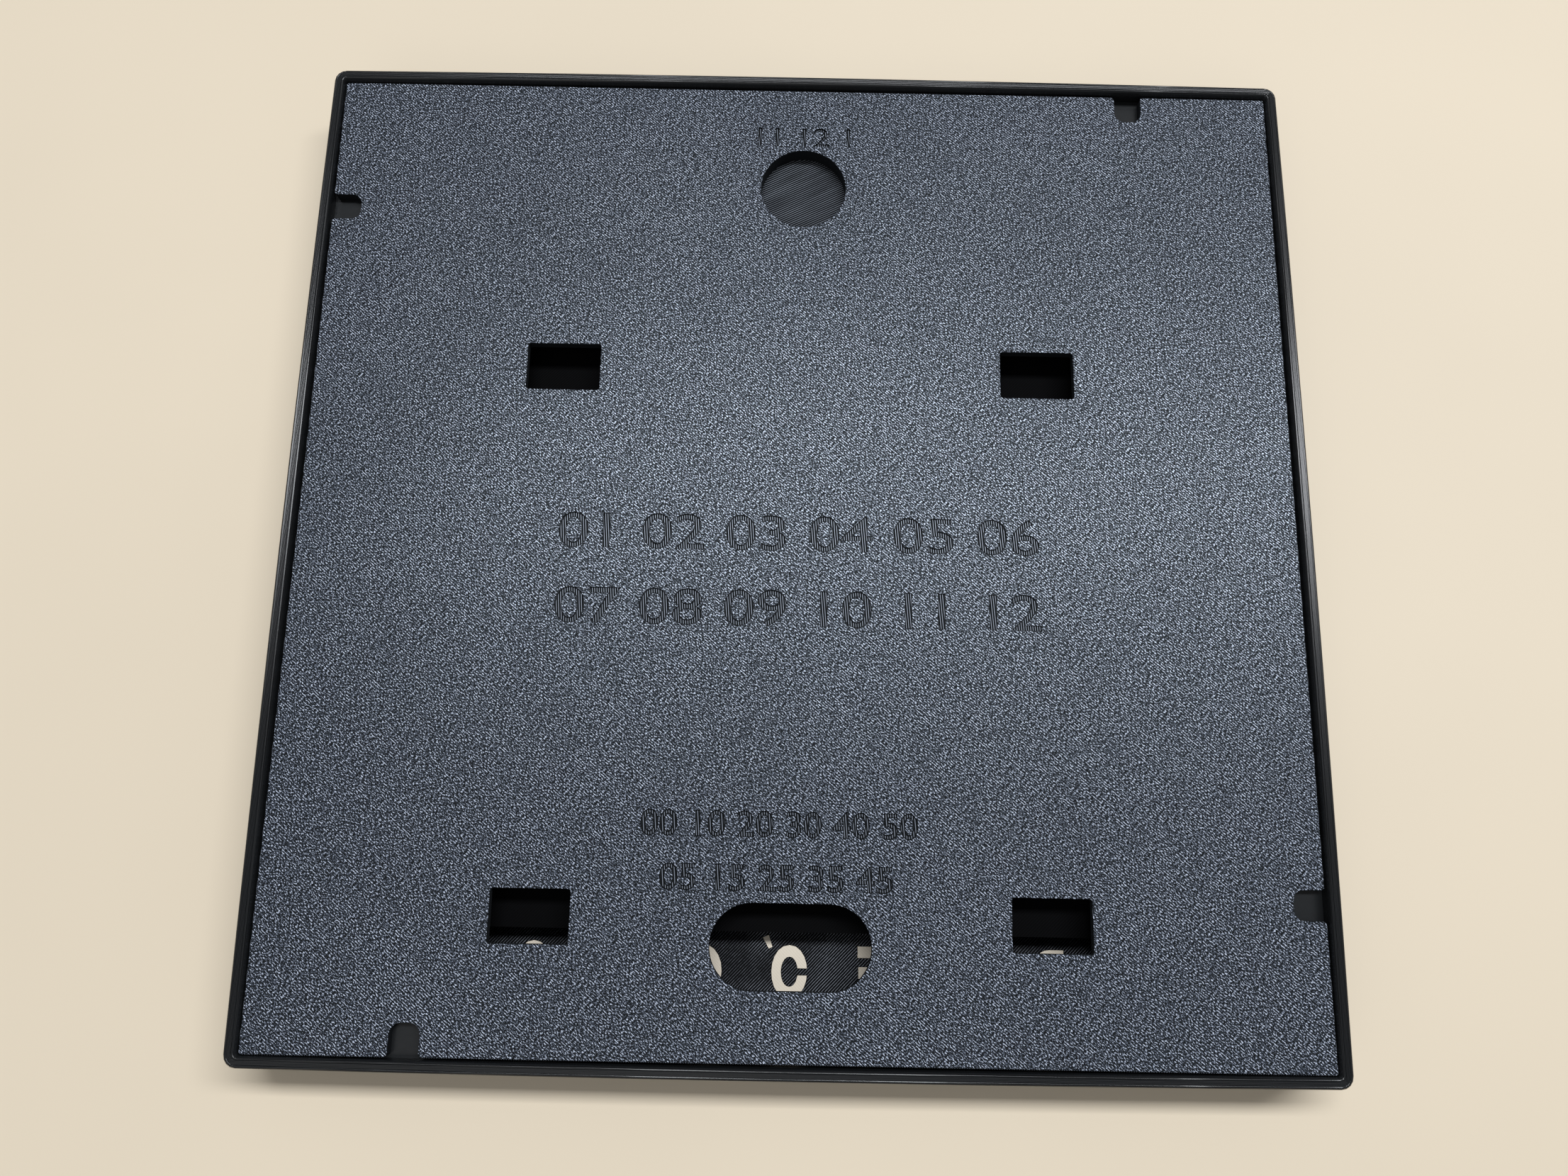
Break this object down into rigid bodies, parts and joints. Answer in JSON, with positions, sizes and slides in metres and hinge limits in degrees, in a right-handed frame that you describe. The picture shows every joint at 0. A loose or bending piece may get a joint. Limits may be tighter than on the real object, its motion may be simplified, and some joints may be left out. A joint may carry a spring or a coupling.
{
  "type": "word clock",
  "caption": "Square wall-hung word clock: printed case with letter face, light baffle, LED tapes on a carrier plate, controller board and a lift-off rear cover with hanger pocket.",
  "frame": {"origin": "centre of the front face, on the surface that the clock lies on", "axes": "+Z from the face to the rear cover, +Y to the hanger pocket, which is the clock's top when it hangs"},
  "size_m": [0.205, 0.205, 0.016],
  "materials": {
    "rear_print": "printed face down on a grained bed, dark blue grey",
    "case_print": "printed, fine layer lines, black",
    "face_print": "printed black face",
    "letter_inlay": "off-white printed inlay",
    "inner_print": "printed, matt black",
    "led_tape": "white flexible board with white light packages",
    "ribbon": "three joined insulated cores",
    "circuit_board": "solder mask over glass laminate",
    "shield_can": "tinned sheet",
    "switch_body": "pressed sheet over black plastic",
    "button_cap": "moulded, pale",
    "screw_steel": "zinc plated"
  },
  "bodies": {
    "case": {"case_frame": "case_print", "front_panel": "face_print", "light_baffle": "inner_print", "led_carrier": "inner_print", "led_tape_row_01": "led_tape", "led_tape_row_02": "led_tape", "led_tape_row_03": "led_tape", "led_tape_row_04": "led_tape", "led_tape_row_05": "led_tape", "led_tape_row_06": "led_tape", "led_tape_row_07": "led_tape", "led_tape_row_08": "led_tape", "led_tape_row_09": "led_tape", "led_tape_row_10": "led_tape", "led_tape_bottom_edge": "led_tape", "row_link_01": "ribbon", "row_link_02": "ribbon", "row_link_03": "ribbon", "row_link_04": "ribbon", "row_link_05": "ribbon", "row_link_06": "ribbon", "row_link_07": "ribbon", "row_link_08": "ribbon", "row_link_09": "ribbon", "bottom_row_link": "ribbon", "feed_ribbon": "ribbon", "controller_board": "circuit_board", "wifi_module": "shield_can", "usb_socket": "shield_can", "reset_switch": "switch_body", "carrier_screw_1": "screw_steel", "carrier_screw_2": "screw_steel", "carrier_screw_3": "screw_steel", "carrier_screw_4": "screw_steel"},
    "rear_cover": {"rear_cover": "rear_print"},
    "reset_button": {"reset_button": "button_cap"}
  },
  "joints": [
    {"name": "cover_lift", "type": "slide", "parent": "case", "child": "rear_cover", "axis": [0, 0, 1], "range_m": [0, 0.03]},
    {"name": "reset_press", "type": "slide", "parent": "case", "child": "reset_button", "axis": [0, 0, -1], "range_m": [0, 0.00025], "stiffness_N_per_m": 200}
  ]
}
